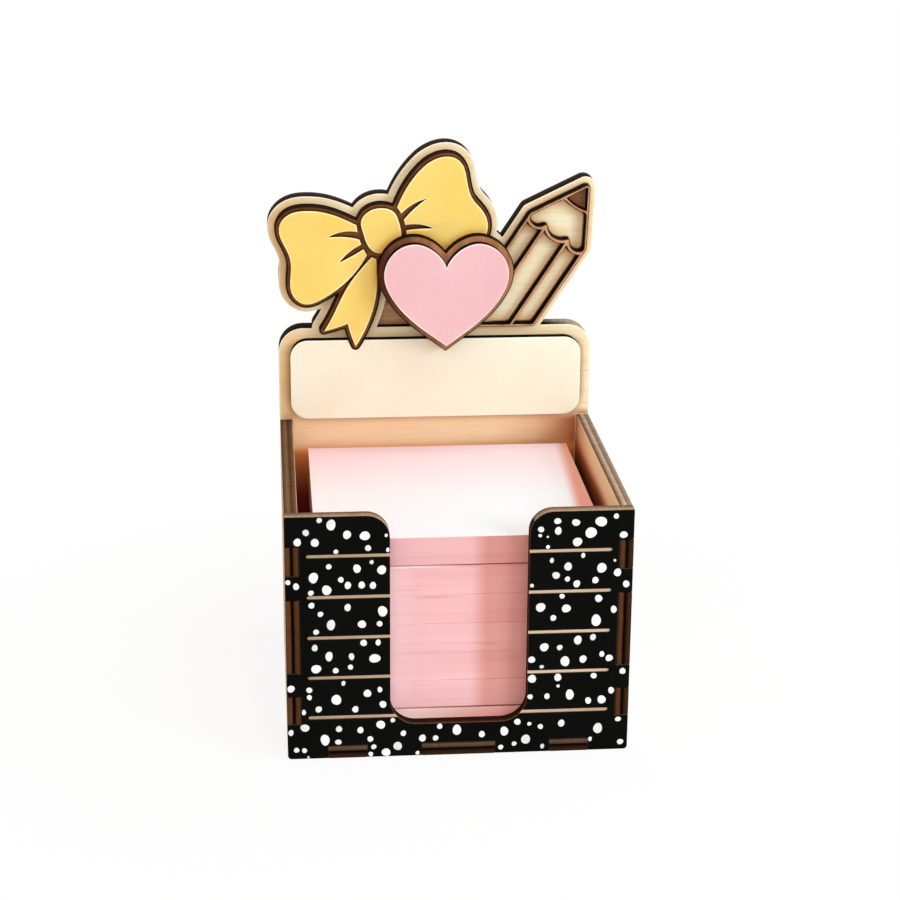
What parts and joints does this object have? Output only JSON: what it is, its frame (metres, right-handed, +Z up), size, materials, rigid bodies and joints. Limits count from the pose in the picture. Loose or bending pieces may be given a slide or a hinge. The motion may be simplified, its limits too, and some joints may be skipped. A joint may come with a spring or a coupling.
{
  "type": "sticky note holder",
  "caption": "Open plywood box for a stack of square sticky notes, with a finger slot in its dotted front and a header with a bare plate, bow, heart and pencil.",
  "frame": {"origin": "middle of the box's underside, on the desk", "axes": "+Z up, -Y towards the front with the finger slot, +X to the right as seen from the front"},
  "size_m": [0.094, 0.09, 0.1497],
  "materials": {
    "bare_wood": "matte",
    "dotted_black": "satin",
    "cream_plate": "satin",
    "brown_wood": "matte",
    "fret_wood": "matte",
    "yellow_wood": "satin",
    "pink_wood": "satin",
    "pink_paper": "matte"
  },
  "bodies": {
    "holder": {"base_panel": "bare_wood", "left_side_panel": "bare_wood", "right_side_panel": "bare_wood", "rear_board": "bare_wood", "header_board": "bare_wood", "front_panel": "dotted_black", "name_plate": "cream_plate", "bow_backing": "brown_wood", "pencil_lead": "brown_wood", "heart_backing": "brown_wood", "pencil_fret": "fret_wood", "bow_left_loop": "yellow_wood", "bow_right_loop": "yellow_wood", "bow_knot": "yellow_wood", "bow_tail": "yellow_wood", "heart_face": "pink_wood", "note_pad_1": "pink_paper", "note_pad_2": "pink_paper", "note_pad_3": "pink_paper", "note_pad_4": "pink_paper", "note_pad_5": "pink_paper", "note_pad_6": "pink_paper"},
    "lifting_pad": {"top_pad": "pink_paper", "top_note_strip": "pink_paper"},
    "peeling_note": {"top_note_flap": "pink_paper"}
  },
  "joints": [
    {"name": "top_pad_lift", "type": "slide", "parent": "holder", "child": "lifting_pad", "axis": [0, 0, 1], "range_m": [0, 0.025]},
    {"name": "top_note_peel", "type": "hinge", "parent": "lifting_pad", "child": "peeling_note", "pos_m": [0.0005, 0.01995, 0.06065], "axis": [-1, 0, 0], "range_deg": [0, 85]}
  ]
}
